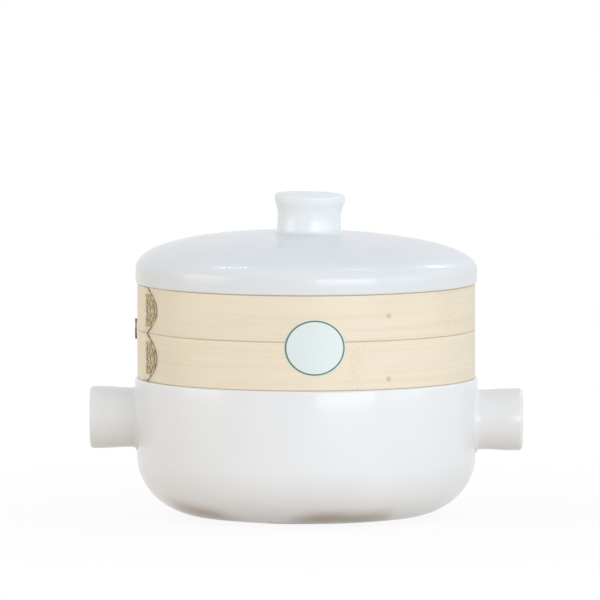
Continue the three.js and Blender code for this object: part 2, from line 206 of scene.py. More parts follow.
class DonabeStage(bpy.types.PropertyGroup):
    """Camera and light"""
    pixels: IntProperty(name="Image width", description="Width of the square image", default=600,
                        subtype="PIXEL")
    pixel_size: length("Pixel size", 0.70, "Real width of one pixel at the object")
    distance: length("Camera distance", 12000, "Distance from the camera to the object")
    elevation: FloatProperty(name="Elevation", description="How far the camera looks down",
                             default=math.radians(4.6), subtype="ANGLE")
    aim_across: length("Aim across", -4.4, "Sideways place of the image's middle")
    aim_height: length("Aim height", 151, "Height of the image's middle")
    world: FloatProperty(name="World light", description="Strength of the even light", default=0.64)
    key: power("Key light", 30.0, "Power of the front light")
    fill_left: power("Left fill light", 12.0, "Power of the left light")
    fill_right: power("Right fill light", 9.0, "Power of the right light")
    top: power("Top light", 2.2, "Power of each strip light over the object")
    floor: colour("Floor", (228, 215, 200), "Pale floor as it lights the object")


def sizes():
    return bpy.context.scene.donabe_sizes


def finish():
    return bpy.context.scene.donabe_finish


# Outlines

def ramped(value, low, high):
    """0 below low, 1 above high and straight between."""
    return min(max((value - low) / (high - low), 0.0), 1.0)


def between(first, last, share):
    return first + (last - first) * share


def arc(centre_r, centre_z, radius, start, end, steps):
    """Points of an arc in the (radius, height) plane, with its angles in degrees from level outwards."""
    points = []
    for i in range(steps + 1):
        angle = math.radians(start + (end - start) * i / steps)
        points.append((centre_r + radius * math.cos(angle), centre_z + radius * math.sin(angle)))
    return points


def rounded(before, corner, after, radius, steps):
    """Points that round one corner of an outline."""
    at = Vector(corner)
    back = (Vector(before) - at).normalized()
    on = (Vector(after) - at).normalized()
    half = back.angle(on) / 2
    reach = radius / math.tan(half)
    centre = at + (back + on).normalized() * radius / math.sin(half)
    first = at + back * reach - centre
    last = at + on * reach - centre
    sweep = first.angle_signed(last)
    points = []
    for i in range(steps + 1):
        turned = first.copy()
        turned.rotate(Matrix.Rotation(-sweep * i / steps, 2))
        points.append(tuple(centre + turned))
    return points


def smoothed(corners, fillets, steps=CORNER_STEPS):
    """An outline through corners, with each inner corner rounded by its fillet radius."""
    points = [corners[0]]
    for i, fillet in enumerate(fillets):
        points += rounded(corners[i], corners[i + 1], corners[i + 2], fillet, steps)
    return points + [corners[-1]]


def section(inner, outer, low, high, edge):
    """A closed upright section with its four edges rounded."""
    corners = [(inner, low), (outer, low), (outer, high), (inner, high)]
    points = []
    for i, corner in enumerate(corners):
        points += rounded(corners[i - 1], corner, corners[(i + 1) % len(corners)], edge, SECTION_STEPS)
    return points


def dome_outline(radius, low, rise, end_radius, steps):
    """A rounded dome from its upright side towards the axis, as a superellipse."""
    side_power = 2.8
    top_power = 2.2
    last = math.acos((end_radius / radius) ** (side_power / 2))
    points = []
    for i in range(steps + 1):
        angle = last * i / steps
        points.append((radius * math.cos(angle) ** (2 / side_power),
                       low + rise * math.sin(angle) ** (2 / top_power)))
    return points


# Meshes

def face_outwards(bm):
    bmesh.ops.recalc_face_normals(bm, faces=bm.faces)


def spun(outline, steps=TURN_STEPS, closed=False):
    """A bmesh turned about the upright axis from an outline, closed on itself or ending on the axis."""
    bm = bmesh.new()
    verts = [bm.verts.new((r, 0, z)) for r, z in outline]
    pairs = list(zip(verts, verts[1:]))
    if closed:
        pairs.append((verts[-1], verts[0]))
    edges = [bm.edges.new(pair) for pair in pairs]
    bmesh.ops.spin(bm, geom=verts + edges, cent=(0, 0, 0), axis=(0, 0, 1), angle=2 * math.pi,
                   steps=steps, use_merge=True, use_normal_flip=False, use_duplicate=False)
    bmesh.ops.remove_doubles(bm, verts=bm.verts, dist=WELD)
    face_outwards(bm)
    return bm


def azimuth_of(point):
    """Degrees from the front towards +X."""
    return math.degrees(math.atan2(point[0], -point[1]))


def at_azimuth(radius, azimuth, z):
    angle = math.radians(azimuth)
    return Vector((radius * math.sin(angle), -radius * math.cos(angle), z))


def map_uv(bm, place):
    """Gives every face a UV map, from what place says for each vertex."""
    uv = bm.loops.layers.uv.verify()
    for face in bm.faces:
        for loop in face.loops:
            loop[uv].uv = place(loop.vert)


def unroll(bm, radius):
    """Gives a ring a UV map in metres: round the ring from the back of the laps, and up."""
    uv = bm.loops.layers.uv.verify()
    for face in bm.faces:
        middle = (azimuth_of(face.calc_center_median()) - LAP_BACK) % TURN
        for loop in face.loops:
            turn = (azimuth_of(loop.vert.co) - LAP_BACK) % TURN
            if turn - middle > TURN / 2:
                turn -= TURN
            if middle - turn > TURN / 2:
                turn += TURN
            loop[uv].uv = (math.radians(turn) * radius, loop.vert.co.z)


def as_mesh(name, bm):
    """Turns a bmesh into a mesh."""
    mesh = bpy.data.meshes.new(name)
    bm.to_mesh(mesh)
    bm.free()
    return mesh


def placed(name, data):
    """A new object in the scene."""
    obj = bpy.data.objects.new(name, data)
    bpy.context.scene.collection.objects.link(obj)
    return obj


def piece(name, bm, material, body, nodes=()):
    """Turns a bmesh into a finished piece that rides on a body and stands for its nodes."""
    mesh = as_mesh(name, bm)
    mesh.materials.append(material)
    mesh.shade_smooth()
    mesh.set_sharp_from_angle(angle=math.radians(SHARP_ANGLE))
    obj = placed(name, mesh)
    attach(obj, body)
    if nodes:
        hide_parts(*nodes)


# Shader nodes

# Where a mix node keeps its two colours and its mixed colour
MIX_FIRST = 6
MIX_SECOND = 7
MIX_RESULT = 2


def put(tree, value, socket):
    """Links a socket to another one or sets its plain value."""
    if isinstance(value, bpy.types.NodeSocket):
        tree.links.new(value, socket)
    else:
        socket.default_value = value


def add_node(tree, kind, **values):
    """Adds a node and links or sets its inputs, with an underscore for each space in an input's name."""
    node = tree.nodes.new(kind)
    for name, value in values.items():
        put(tree, value, node.inputs[name.replace("_", " ")])
    return node


def add_sum(tree, kind, operation, *values):
    """Adds a math node of some kind and gives its outputs."""
    node = tree.nodes.new(kind)
    node.operation = operation
    for value, socket in zip(values, node.inputs):
        put(tree, value, socket)
    return node.outputs


class Shader:
    """A material's node tree, with short calls for the nodes that the finishes share."""

    def __init__(self, name):
        self.material = bpy.data.materials.new(name)
        self.material.use_nodes = True
        self.tree = self.material.node_tree
        self.tree.nodes.clear()

    def add(self, kind, **values):
        return add_node(self.tree, kind, **values).outputs

    def math(self, operation, *values):
        return add_sum(self.tree, "ShaderNodeMath", operation, *values)["Value"]

    def vector_math(self, operation, *values):
        return add_sum(self.tree, "ShaderNodeVectorMath", operation, *values)

    def coordinates(self, kind="Object", scale=(1, 1, 1)):
        source = self.add("ShaderNodeTexCoord")[kind]
        return self.add("ShaderNodeMapping", Vector=source, Scale=scale)["Vector"]

    def split(self, vector):
        return self.add("ShaderNodeSeparateXYZ", Vector=vector)

    def noise(self, vector, scale=1.0, detail=3.0, roughness=0.5):
        return self.add("ShaderNodeTexNoise", Vector=vector, Scale=scale, Detail=detail,
                        Roughness=roughness)["Fac"]

    def streaks(self, vector, along, up, detail=3.0, roughness=0.5):
        """Noise on a UV map in metres, with so many waves a metre along the strip and up it."""
        stretched = self.vector_math("MULTIPLY", vector, (along, up, 1))["Vector"]
        return self.noise(stretched, detail=detail, roughness=roughness)

    def ramp(self, value, low, high, to_low=0.0, to_high=1.0):
        """Maps a value between two limits to another range, with soft ends."""
        node = add_node(self.tree, "ShaderNodeMapRange", Value=value, From_Min=low, From_Max=high,
                        To_Min=to_low, To_Max=to_high)
        node.interpolation_type = "SMOOTHSTEP"
        return node.outputs["Result"]

    def mix(self, factor, first, second):
        """Blends two colours."""
        node = add_node(self.tree, "ShaderNodeMix", Factor=factor)
        node.data_type = "RGBA"
        for tint, place in ((first, MIX_FIRST), (second, MIX_SECOND)):
            plain = not isinstance(tint, bpy.types.NodeSocket)
            put(self.tree, (*tint, 1.0) if plain else tint, node.inputs[place])
        return node.outputs[MIX_RESULT]

    def attribute(self, name):
        node = add_node(self.tree, "ShaderNodeAttribute")
        node.attribute_name = name
        return node.outputs["Fac"]

    def bump(self, height, strength, distance, **normal):
        return self.add("ShaderNodeBump", Height=height, Strength=strength, Distance=distance,
                        **normal)["Normal"]

    def surfaced(self, surface):
        self.add("ShaderNodeOutputMaterial", Surface=surface)
        return self.material

    def done(self, base, roughness, normal, **values):
        return self.surfaced(self.add("ShaderNodeBsdfPrincipled", Base_Color=base, Roughness=roughness,
                                      Normal=normal, **values)["BSDF"])


# Finishes

# Places on the pot over its foot with painted shade and a painted warm reflection in metres, how far each is
# full and spreads, and how strong it is
SHADE_POINTS = (
    (-0.081, -0.046, 0.001), (-0.072, -0.056, 0.0), (-0.061, -0.065, -0.002),
    (0.007, -0.088, -0.003), (0.022, -0.086, -0.003), (0.042, -0.077, -0.003),
)
SHADE_CORE = 6 * MM
SHADE_REACH = 28 * MM
SHADE_DEPTH = 0.7

# Levels under which the clay is bare before the glaze's edge wavers, how far it wavers and how soft it is
POT_BARE = 6.5 * MM
LID_BARE_OVER_FLANGE = 8 * MM
GLAZE_EDGE_WAVER = 14 * MM
GLAZE_EDGE = 1.5 * MM

# Height over which the dome's glaze turns into the knob's lighter glaze, painted light for the knob's upright
# side that faces the key light
KNOB_LIGHT_BLEND = 4 * MM

# How far a joint in the bamboo wavers, and how far the darkening at a hoop's edges reaches, partly darker cut
# bamboo and partly painted shade in the gaps
JOINT_WAVER = 12 * MM
EDGE_STAIN_AND_SHADE = 1 * MM


def glaze_finish(name, white, bare_below, shade_points=(), knob_above=None):
    """White glaze over a bare clay edge, with painted shade round some points and the knob's painted lighter
    white above a level.
    """
    shader = Shader(name)
    tone = finish()
    place = shader.coordinates()
    rise = shader.split(place)["Z"]
    clouds = shader.ramp(shader.noise(place, scale=14, detail=4), low=0.35, high=0.7)
    thin_share = 0.97
    thin = [thin_share * part for part in white]
    base = shader.mix(clouds, white, thin)
    if knob_above:
        # Painted light: the knob is whiter than the dome because its upright side faces the key light
        painted_knob_light = shader.ramp(rise, low=knob_above, high=knob_above + KNOB_LIGHT_BLEND)
        base = shader.mix(painted_knob_light, base, tone.lit_knob_glaze)
    specks = shader.ramp(shader.noise(place, scale=420, detail=1), low=0.76, high=0.8, to_high=0.25)
    base = shader.mix(specks, base, tone.clay)
    waver = shader.math("MULTIPLY", shader.noise(place, scale=16), GLAZE_EDGE_WAVER)
    bare = shader.ramp(shader.math("ADD", rise, waver), low=bare_below, high=bare_below + GLAZE_EDGE,
                       to_low=1.0, to_high=0.0)
    grain = shader.noise(place, scale=900, detail=2)
    clay = shader.mix(shader.ramp(grain, low=0.4, high=0.7, to_high=0.5), tone.clay, white)
    base = shader.mix(bare, base, clay)
    # Painted shade and a painted warm reflection round each point
    for point in shade_points:
        away = shader.vector_math("DISTANCE", place, point)["Value"]
        shaded = shader.ramp(away, low=SHADE_CORE, high=SHADE_REACH, to_low=SHADE_DEPTH, to_high=0.0)
        base = shader.mix(shaded, base, tone.painted_shade)
    gloss = shader.ramp(shader.noise(place, scale=35), low=0.3, high=0.7, to_low=0.32, to_high=0.42)
    bare_roughness = 0.85
    roughness = shader.math("MAXIMUM", gloss, shader.math("MULTIPLY", bare, bare_roughness))
    waves = shader.bump(shader.noise(place, scale=11, detail=1), strength=0.35, distance=0.6 * MM)
    pits = shader.noise(place, scale=260, detail=2)
    peel = shader.bump(pits, strength=0.12, distance=0.12 * MM, Normal=waves)
    return shader.done(base, roughness, peel, Specular_IOR_Level=0.35, Coat_Weight=0.4, Coat_Roughness=0.07)


def bamboo_fibres(shader, place, light, middle, dark):
    """The colour of fine level fibres with soft bands and short flecks, and the fibres alone."""
    fibre = shader.streaks(place, along=14, up=1500, detail=4, roughness=0.65)
    band = shader.streaks(place, along=6, up=190)
    cloud = shader.streaks(place, along=22, up=40, detail=2)
    fleck = shader.streaks(place, along=110, up=1700, detail=1)
    base = shader.mix(shader.ramp(fibre, low=0.3, high=0.72), middle, light)
    base = shader.mix(shader.ramp(band, low=0.45, high=0.75, to_high=0.2), base, dark)
    base = shader.mix(shader.ramp(cloud, low=0.5, high=0.8, to_high=0.14), base, dark)
    base = shader.mix(shader.ramp(fleck, low=0.69, high=0.76, to_high=0.45), base, dark)
    return base, fibre


def joint_nearness(shader, place, hoop):
    """1 at the joint in a hoop's bamboo, falling to 0 at its width."""
    joint = math.radians((hoop.joint_azimuth - LAP_BACK) % TURN) * HOOP_RADIUS
    waver = shader.math("MULTIPLY", shader.streaks(place, along=1, up=90), JOINT_WAVER)
    along = shader.math("ADD", shader.split(place)["X"], waver)
    away = shader.math("ABSOLUTE", shader.math("SUBTRACT", along, joint + JOINT_WAVER / 2))
    return shader.ramp(away, low=0.1 * hoop.joint_width, high=hoop.joint_width, to_low=1.0, to_high=0.0)


def cut_end_shadow_and_fray(shader, place, base, shade):
    """Paints patchy shadow along the edge of the tongue, where its step casts shade, and frays the bamboo
    behind it.
    """
    cut = shader.attribute("cut_end")
    patches = shader.streaks(place, along=300, up=260, detail=2)
    # Painted shadow in broken patches along the tongue's edge
    shadow = shader.ramp(patches, low=0.42, high=0.6, to_high=0.7)
    edge = shader.ramp(cut, low=0.88, high=0.96)
    base = shader.mix(shader.math("MULTIPLY", edge, shadow), base, shade)
    from_cut = 11.0
    upwards = 130.0
    across = shader.add("ShaderNodeCombineXYZ", X=shader.math("MULTIPLY", cut, from_cut),
                        Y=shader.math("MULTIPLY", shader.split(place)["Y"], upwards))["Vector"]
    frayed = shader.ramp(shader.noise(across, detail=2), low=0.54, high=0.62, to_high=0.6)
    behind = shader.ramp(cut, low=0.2, high=0.5)
    return shader.mix(shader.math("MULTIPLY", frayed, behind), base, shade)


def hoop_finish(hoop):
    """Shaved bamboo of an outer hoop with one joint of the cane, darker at its edges from cut bamboo and
    painted shade, with painted shadow and frayed bamboo at its cut end.
    """
    shader = Shader(f"{hoop.row}_bamboo")
    tone = finish()
    place = shader.coordinates("UV")
    base, fibre = bamboo_fibres(shader, place, tone.bamboo_light, tone.bamboo, tone.bamboo_dark)
    near = joint_nearness(shader, place, hoop)
    speckle = shader.streaks(place, along=420, up=900)
    marks = shader.math("MULTIPLY", near, shader.ramp(speckle, low=0.5, high=0.62, to_high=0.5))
    base = shader.mix(marks, base, tone.bamboo_dark)
    rise = shader.split(place)["Y"]
    # Darker cut bamboo and painted shade in the gaps along the hoop's edges
    for edge, inside, painted_shade in ((hoop.low, hoop.low + EDGE_STAIN_AND_SHADE, hoop.low_stain_and_shade),
                                (hoop.high, hoop.high - EDGE_STAIN_AND_SHADE, hoop.high_stain_and_shade)):
        base = shader.mix(shader.ramp(rise, low=inside, high=edge, to_high=painted_shade), base, tone.cane_shade)
    base = cut_end_shadow_and_fray(shader, place, base, tone.cane_shade)
    gloss = shader.ramp(fibre, low=0.3, high=0.7, to_low=0.42, to_high=0.58)
    ridge = shader.bump(near, strength=0.3, distance=0.4 * MM)
    grain = shader.bump(fibre, strength=0.25, distance=0.15 * MM, Normal=ridge)
    return shader.done(base, gloss, grain)


def inner_finish():
    """Split bamboo inside the tier, a little darker than the hoops."""
    shader = Shader("split_bamboo")
    tone = finish()
    base, fibre = bamboo_fibres(shader, shader.coordinates("UV"), tone.bamboo, tone.inner, tone.bamboo_dark)
    gloss = shader.ramp(fibre, low=0.3, high=0.7, to_low=0.5, to_high=0.68)
    return shader.done(base, gloss, shader.bump(fibre, strength=0.35, distance=0.2 * MM))


def cane_finish(name, light, dark):
    """Split cane with streaks along its length."""
    shader = Shader(name)
    streak = shader.noise(shader.coordinates("UV", scale=(90, 1600, 1)), detail=4, roughness=0.6)
    base = shader.mix(shader.ramp(streak, low=0.35, high=0.68), light, dark)
    gloss = shader.ramp(streak, low=0.3, high=0.7, to_low=0.45, to_high=0.6)
    return shader.done(base, gloss, shader.bump(streak, strength=0.3, distance=0.2 * MM))


def label_finish():
    """Blank paper inside a printed ring, on a UV map of -1 to 1 across the oval."""
    shader = Shader("label_paper")
    tone = finish()
    out = shader.vector_math("LENGTH", shader.coordinates("UV"))["Value"]
    fibre = shader.noise(shader.coordinates(), scale=700, detail=3)
    flecks = shader.ramp(fibre, low=0.3, high=0.7, to_high=0.05)
    paper = shader.mix(flecks, tone.label_paper, tone.label_ring)
    ring_start = shader.ramp(out, low=0.925, high=0.935)
    ring_end = shader.ramp(out, low=0.978, high=0.988, to_low=1.0, to_high=0.0)
    base = shader.mix(shader.math("MULTIPLY", ring_start, ring_end), paper, tone.label_ring)
    gloss = shader.ramp(fibre, low=0.3, high=0.7, to_low=0.32, to_high=0.42)
    return shader.done(base, gloss, shader.bump(fibre, strength=0.1, distance=0.05 * MM))


# Pot

def lower_curve(radius, width, low, high, steps):
    """A quarter of an ellipse from the pot's base out to its wall."""
    return [(radius - width + width * r, high + (high - low) * z) for r, z in arc(0, 0, 1, -90, 0, steps)]


def foot_outline(belly_start):
    """The pot's underside from its middle, over the foot ring, to where the belly starts."""
    s = sizes()
    taper = 1.5 * MM
    hollow_fillet = 0.8 * MM
    inner_edge = 0.7 * MM
    outer_edge = 0.6 * MM
    inner = s.foot_radius - s.foot_width
    corners = [(0, s.foot_hollow), (inner - taper, s.foot_hollow), (inner, 0), (s.foot_radius, 0),
               (s.foot_radius + taper, s.foot_rise), belly_start]
    return smoothed(corners, [hollow_fillet, inner_edge, outer_edge, outer_edge], steps=4)


def rim_outline(belly_end, inside_start):
    """The pot's rim, with the step inside it that the tier drops into."""
    s = sizes()
    outer_edge = 1.6 * MM
    inner_edge = 0.8 * MM
    gallery_fillet = 1.0 * MM
    ledge_edge = 1.5 * MM
    wall_fillet = 3.0 * MM
    ledge_slope = 7 * MM
    gallery = RIM_RADIUS - s.rim_land
    ledge_z = RIM_Z - s.gallery_depth
    corners = [belly_end, (RIM_RADIUS, RIM_Z), (gallery, RIM_Z), (gallery, ledge_z),
               (gallery - s.ledge_width, ledge_z), (inside_start[0], ledge_z - ledge_slope), inside_start]
    return smoothed(corners, [outer_edge, inner_edge, gallery_fillet, ledge_edge, wall_fillet])


def pot_outline():
    """The pot from the middle of its underside, over the rim, to the middle of its floor."""
    s = sizes()
    curve_top = s.foot_rise + s.belly_height
    belly = lower_curve(s.belly_radius, s.belly_width, s.foot_rise, curve_top, steps=30)
    floor_z = s.foot_hollow + s.pot_floor
    inner = s.belly_radius - s.pot_wall
    inside = lower_curve(inner, s.belly_width - s.pot_wall, floor_z, curve_top, steps=20)
    inside.reverse()
    foot = foot_outline(belly[0])
    rim = rim_outline(belly[-1], inside[0])
    return foot[:-1] + belly[:-1] + rim[:-1] + inside + [(0, floor_z)]


def handle_outline(wall, fillet):
    """A handle from its root in the pot's wall, over its swelling end, to the bottom of its bore."""
    s = sizes()
    sink = 2.0 * MM
    neck = 3 * MM
    swell = 9 * MM
    lip = 3.0 * MM
    bore_edge = 2.0 * MM
    bore_fillet = 5.0 * MM
    flare_from = 262.0
    flare_to = 180.0
    side_steps = 5
    flare = arc(s.handle_waist + fillet, wall + fillet, fillet, flare_from, flare_to, steps=8)
    root = [(0, wall - sink), (flare[0][0], wall - sink)]
    neck_end = wall + fillet + neck
    swell_start = HANDLE_END - swell
    side = []
    for i in range(side_steps):
        t = i / side_steps
        ease = t * t * (3 - 2 * t)
        side.append((between(s.handle_waist, s.handle_end, ease), between(neck_end, swell_start, t)))
    deep = HANDLE_END - s.handle_bore_depth
    mouth = smoothed([(s.handle_end, swell_start), (s.handle_end, HANDLE_END), (s.handle_bore, HANDLE_END),
                      (s.handle_bore, deep), (0, deep)], [lip, bore_edge, bore_fillet], steps=8)
    return root + flare + side + mouth


def handle_shell(side):
    """A hollow stub handle that flares into the pot's wall, along +X or -X."""
    s = sizes()
    wall_lean = 0.7 * MM
    fillet = 2.5 * MM
    wall = s.belly_radius + wall_lean
    bm = spun(handle_outline(wall, fillet), steps=72)
    for vert in bm.verts:
        if math.hypot(vert.co.x, vert.co.y) > s.handle_bore:
            near = ramped(wall + fillet - vert.co.z, 0.0, fillet)
            vert.co.z += near * (math.sqrt(wall ** 2 - vert.co.y ** 2) - wall)
    turn = Matrix.Rotation(side * math.pi / 2, 4, "Y")
    shift = Matrix.Translation((0, 0, s.handle_axis - side * s.handle_skew))
    bmesh.ops.transform(bm, matrix=shift @ turn, verts=bm.verts)
    face_outwards(bm)
    return bm


class DONABE_OT_pot(bpy.types.Operator):
    """Turn the glazed pot and its two stub handles"""
    bl_idname = "donabe.pot"
    bl_label = "Pot"

    def execute(self, context):
        tone = finish()
        glaze = glaze_finish("pot_glaze", tone.glaze, POT_BARE, SHADE_POINTS)
        piece("pot_body", spun(pot_outline()), glaze, "pot", ["pot"])
        # Painted shade: the handles get a darker, warmer glaze than the pot
        handle_shade_glaze = glaze_finish("handle_glaze", tone.handle_glaze, POT_BARE)
        for side, name in ((1, "pot_handle_right"), (-1, "pot_handle_left")):
            piece(name, handle_shell(side), handle_shade_glaze, "pot")
        return {"FINISHED"}


# Lid

# Points of the fillet round the knob's foot, in millimetres out from its base and up from the dome
KNOB_FOOT = ((1.7, 0.1), (0.8, 0.5), (0.25, 1.2), (0.0, 2.4))

# How far up the knob's waist and flare the points of its side lie, from 0 to 1
KNOB_WAIST_STEPS = (0.35, 0.7, 1.0)
KNOB_FLARE_STEPS = (0.2, 0.4, 0.6, 0.8, 1.0)


def lid_outline():
    """The lid from the top of the hollow in its knob, under its dome, over its side, to the knob's top."""
    s = sizes()
    flange_gap = 0.65 * MM
    flange_edge = 1.5 * MM
    seat_fillet = 0.4 * MM
    side_edge = 1.2 * MM
    knob_roof = 8 * MM
    roof_fillet = 6 * MM
    cavity_edge = 2.5 * MM
    cavity_land = 3 * MM
    knob_skirt = 5 * MM
    dome_z = HOOP_TOP_Z + s.lid_side
    apex_z = LID_TOP_Z - s.knob_height
    rise = apex_z - dome_z
    flange_outer = HOOP_RADIUS - s.hoop_thickness - flange_gap
    flange_inner = flange_outer - s.flange_width
    flange_z = HOOP_TOP_Z - s.lid_flange
    inside = dome_outline(flange_inner, dome_z, rise - s.lid_wall, s.knob_cavity + cavity_land, steps=24)
    inside.reverse()
    hollow_z = LID_TOP_Z - knob_roof
    hollow = smoothed([(0, hollow_z), (s.knob_cavity, hollow_z), (s.knob_cavity, inside[0][1]), inside[1]],
                      [roof_fillet, cavity_edge])
    outside = dome_outline(LID_RADIUS, dome_z, rise, s.knob_base + knob_skirt, steps=40)
    seat = smoothed([inside[-1], (flange_inner, flange_z), (flange_outer, flange_z),
                     (flange_outer, HOOP_TOP_Z), (LID_RADIUS, HOOP_TOP_Z), outside[0]],
                    [flange_edge, flange_edge, seat_fillet, side_edge])
    return hollow[:-1] + inside[1:-1] + seat[:-1] + outside + knob_outline(apex_z)


def knob_outline(apex_z):
    """The knob's waisted side and shallow dished top."""
    s = sizes()
    waist_z = apex_z + 11 * MM
    lip_z = LID_TOP_Z - 5.5 * MM
    lip_reach = 0.2 * MM
    lip_edge = 2.6 * MM
    dish_border = 6 * MM
    dish_depth = 1.2 * MM
    dish_fillet = 8 * MM
    foot = [(s.knob_base + reach * MM, apex_z + lift * MM) for reach, lift in KNOB_FOOT]
    foot_z = foot[-1][1]
    waist = [(between(s.knob_base, s.knob_waist, math.sin(t * math.pi / 2)), between(foot_z, waist_z, t))
             for t in KNOB_WAIST_STEPS]
    flare = [(between(s.knob_waist, s.knob_top, t * t), between(waist_z, lip_z, t)) for t in KNOB_FLARE_STEPS]
    lip = smoothed([flare[-1], (s.knob_top + lip_reach, LID_TOP_Z), (s.knob_top - dish_border, LID_TOP_Z),
                    (0, LID_TOP_Z - dish_depth)], [lip_edge, dish_fillet], steps=8)
    return foot + waist + flare[:-1] + lip


def shape_by_hand(bm):
    """Lets the dome sink on the right, and sets the knob off the axis and leaning, as if stuck on by hand."""
    s = sizes()
    dome_z = HOOP_TOP_Z + s.lid_side
    apex_z = LID_TOP_Z - s.knob_height
    for vert in bm.verts:
        x = vert.co.x
        z = vert.co.z
        up_knob = ramped(z, apex_z, LID_TOP_Z)
        right = (x + math.hypot(x, s.sag_blend)) / (2 * LID_RADIUS)
        across = (x + s.knob_top) / (2 * s.knob_top)
        sag = s.dome_sag * right * ramped(z, dome_z, apex_z) * (1.0 - up_knob)
        vert.co.z -= sag + s.knob_dip * across * up_knob
        if z > apex_z:
            vert.co.x += s.knob_shift + up_knob * s.knob_lean


class DONABE_OT_lid(bpy.types.Operator):
    """Turn the glazed lid with its knob"""
    bl_idname = "donabe.lid"
    bl_label = "Lid"

    def execute(self, context):
        s = sizes()
        bare_below = HOOP_TOP_Z - s.lid_flange + LID_BARE_OVER_FLANGE
        knob_above = LID_TOP_Z - s.knob_height
        glaze = glaze_finish("lid_glaze", finish().lid_glaze, bare_below, knob_above=knob_above)
        bm = spun(lid_outline())
        shape_by_hand(bm)
        piece("lid_dome", bm, glaze, "lid", ["lid"])
        return {"FINISHED"}


# Outer hoops

# A strip is first wound as a steep helix, so that the height of a vertex tells how far round it is
WINDING_PITCH = 0.1
WINDING_STEPS = 170
WINDING_SWEEP = LAP_FRONT + TURN - LAP_BACK

# Where the strip comes round to its own start, and over how many degrees it thins or lifts there
LAP_START = TURN + LAP_BACK
SKIVE = 10.0

# How much thinner the tongue's end is, over which length, and how far behind the end its bamboo is frayed
TIP_THINNING = 0.75 * MM
TIP_LENGTH = 4 * MM
FRAY_LENGTH = 14 * MM

# Radius of a strip's eased edges, and how many cuts divide its height
STRIP_EDGE = 0.6 * MM
STRIP_CUTS = 15


def wound_strip(low, high):
    """A bamboo strip wound a little over one turn as a helix, closed at both ends."""
    bm = bmesh.new()
    outline = section(HOOP_RADIUS - sizes().hoop_thickness, HOOP_RADIUS, low, high, STRIP_EDGE)
    verts = [bm.verts.new((r, 0, z)) for r, z in outline]
    edges = [bm.edges.new((verts[i - 1], verts[i])) for i in range(len(verts))]
    upright = [e for e in edges if abs(e.verts[0].co.z - e.verts[1].co.z) > (high - low) / 2]
    bmesh.ops.subdivide_edges(bm, edges=upright, cuts=STRIP_CUTS)
    bmesh.ops.spin(bm, geom=bm.verts[:] + bm.edges[:], cent=(0, 0, 0), axis=(0, 0, 1),
                   dvec=(0, 0, WINDING_PITCH), angle=math.radians(WINDING_SWEEP), steps=WINDING_STEPS,
                   use_merge=False, use_duplicate=False)
    bmesh.ops.holes_fill(bm, edges=[e for e in bm.edges if e.is_boundary])
    return bm


def wound_hoop(low, high):
    """A bamboo strip wound flat, lapped over its own start and ending in a rounded tongue."""
    s = sizes()
    bm = wound_strip(low, high)
    turn_layer = bm.verts.layers.float.new("turn")
    cut_layer = bm.verts.layers.float.new("cut_end")
    inner = HOOP_RADIUS - s.hoop_thickness
    ply_outer = inner + s.lap_ply
    middle = (low + high) / 2
    for vert in bm.verts:
        step = round((vert.co.z - middle) / WINDING_PITCH)
        z = min(max(vert.co.z - step * WINDING_PITCH, low), high)
        azimuth = LAP_BACK + WINDING_SWEEP * step / WINDING_STEPS
        depth = (math.hypot(vert.co.x, vert.co.y) - inner) / s.hoop_thickness
        outside = between(ply_outer, HOOP_RADIUS, ramped(azimuth, LAP_FRONT, LAP_FRONT + SKIVE))
        inside = between(inner, ply_outer + s.fit_gap, ramped(azimuth, LAP_START - SKIVE, LAP_START))
        height = (z - middle) / (high - low) * 2
        end = TURN + TONGUE_TIP - math.degrees(s.tongue_bulge / HOOP_RADIUS) * height ** 2
        if azimuth > LAP_START:
            azimuth = between(LAP_START, end, (azimuth - LAP_START) / (LAP_FRONT - LAP_BACK))
        from_end = math.radians(end - azimuth) * HOOP_RADIUS
        outside -= TIP_THINNING * (1.0 - ramped(from_end, 0.0, TIP_LENGTH))
        vert[turn_layer] = azimuth
        vert[cut_layer] = 1.0 - ramped(from_end, 0.0, FRAY_LENGTH)
        vert.co = at_azimuth(between(inside, outside, depth), azimuth, z)
    face_outwards(bm)
    if bm.calc_volume(signed=True) < 0:
        bmesh.ops.reverse_faces(bm, faces=bm.faces)
    map_uv(bm, lambda vert: (math.radians(vert[turn_layer] - LAP_BACK) * HOOP_RADIUS, vert.co.z))
    return bm


class DONABE_OT_hoops(bpy.types.Operator):
    """Wind the two outer bamboo hoops"""
    bl_idname = "donabe.hoops"
    bl_label = "Outer hoops"

    def execute(self, context):
        for hoop in (LOWER_HOOP, UPPER_HOOP):
            strip = wound_hoop(hoop.low, hoop.high)
            piece(f"{hoop.row}_hoop_strip", strip, hoop_finish(hoop), "steamer",
                  [f"{hoop.row}_hoop"])
        return {"FINISHED"}


# Cane lacing and tie

# Width and thickness of the cane strips, and how far each waves over and under others
EDGE_CANE = (1.5 * MM, 0.5 * MM, 0.3 * MM)
CROSS_CANE = (0.9 * MM, 0.45 * MM, 0.25 * MM)
TIE_CANE = (2.3 * MM, 1.3 * MM, 0.3 * MM)

# A strip's long edges are eased by this share of its section, and it is cut across to bend
CANE_EASE = 0.15
CANE_CUTS = 18

# Rows along the tongue's edge and pairs of strips across them, with the rows' places in degrees
ROWS = 3
CROSSINGS = 4
FIRST_ROW = 1.2
ROW_STEP = 2.7

# How near the rows still are at their ends, how far a crossing strip slants, and how far it passes the rows
ROWS_GATHERED = 0.4
CROSS_SLANT = 0.09
CROSS_PAST = 0.3
CROSS_RAISE = 0.15 * MM

# How far each turn of the tie lies from its middle in degrees, and off the hoop
TIE_APART = 0.6
TIE_GAP = 0.1 * MM


def straight(start, end):
    """A route between two (azimuth, height) points, as a function of 0 to 1."""
    return lambda t: Vector(start).lerp(Vector(end), t)


